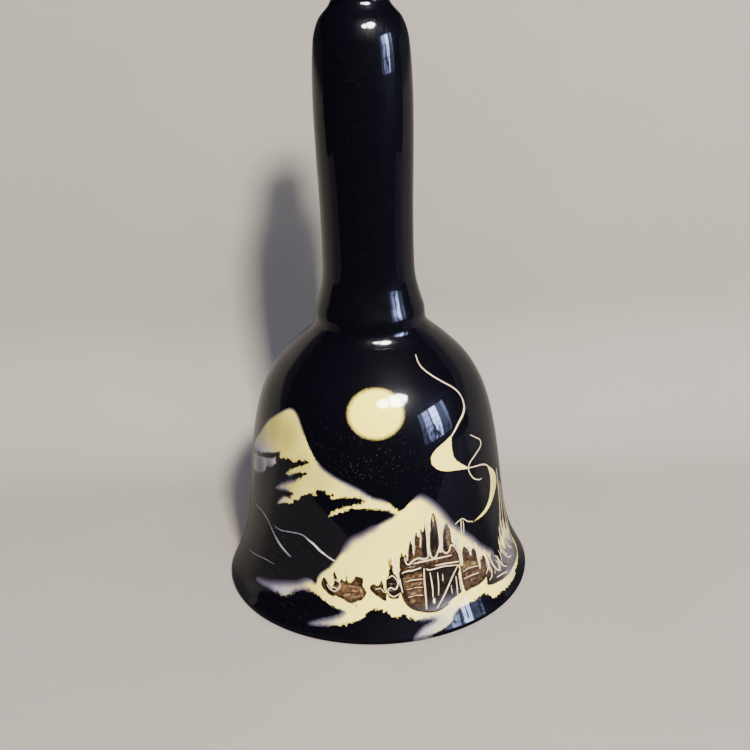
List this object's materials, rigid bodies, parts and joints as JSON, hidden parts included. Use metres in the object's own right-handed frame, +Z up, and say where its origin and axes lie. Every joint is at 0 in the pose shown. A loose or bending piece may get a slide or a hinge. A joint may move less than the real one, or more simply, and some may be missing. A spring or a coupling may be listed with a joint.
{
  "type": "porcelain hand bell",
  "caption": "Glazed porcelain hand bell with a flared mouth, a hollow turned grip and a bead clapper hung inside on a short wire chain.",
  "frame": {"origin": "centre of the mouth, on the plane of the flat foot ring that the bell stands on", "axes": "+Z up along the bell's axis, from the mouth to the knob; the decorated front faces -Y; +X is to the right when it is looked at from the front"},
  "size_m": [0.076, 0.076, 0.152],
  "materials": {
    "black_glaze": "glossy black glaze over a cream body, with a hand-drawn winter scene",
    "cement": "matt setting plaster",
    "brass_wire": "dull drawn wire",
    "cream_porcelain": "smooth unglazed porcelain"
  },
  "bodies": {
    "root": {"bell_shell": "black_glaze", "handle": "black_glaze", "crown_cement": "cement", "hanger_staple": "brass_wire"},
    "link_1": {"chain_link_1": "brass_wire"},
    "link_2": {"chain_link_2": "brass_wire"},
    "link_3": {"chain_link_3": "brass_wire"},
    "clapper": {"clapper_pin": "brass_wire", "clapper_bead": "cream_porcelain"}
  },
  "joints": [
    {"name": "link_1_swing", "type": "hinge", "parent": "root", "child": "link_1", "pos_m": [0, 0, 0.0553], "axis": [0.7071, 0.7071, 0], "range_deg": [-20, 20]},
    {"name": "link_2_swing", "type": "hinge", "parent": "link_1", "child": "link_2", "pos_m": [0, 0, 0.04845], "axis": [-0.7071, 0.7071, 0], "range_deg": [-20, 20]},
    {"name": "link_3_swing", "type": "hinge", "parent": "link_2", "child": "link_3", "pos_m": [0, 0, 0.0416], "axis": [0.7071, 0.7071, 0], "range_deg": [-6, 6]},
    {"name": "clapper_swing", "type": "hinge", "parent": "link_3", "child": "clapper", "pos_m": [0, 0, 0.03475], "axis": [-0.7071, 0.7071, 0], "range_deg": [-9, 9]}
  ]
}
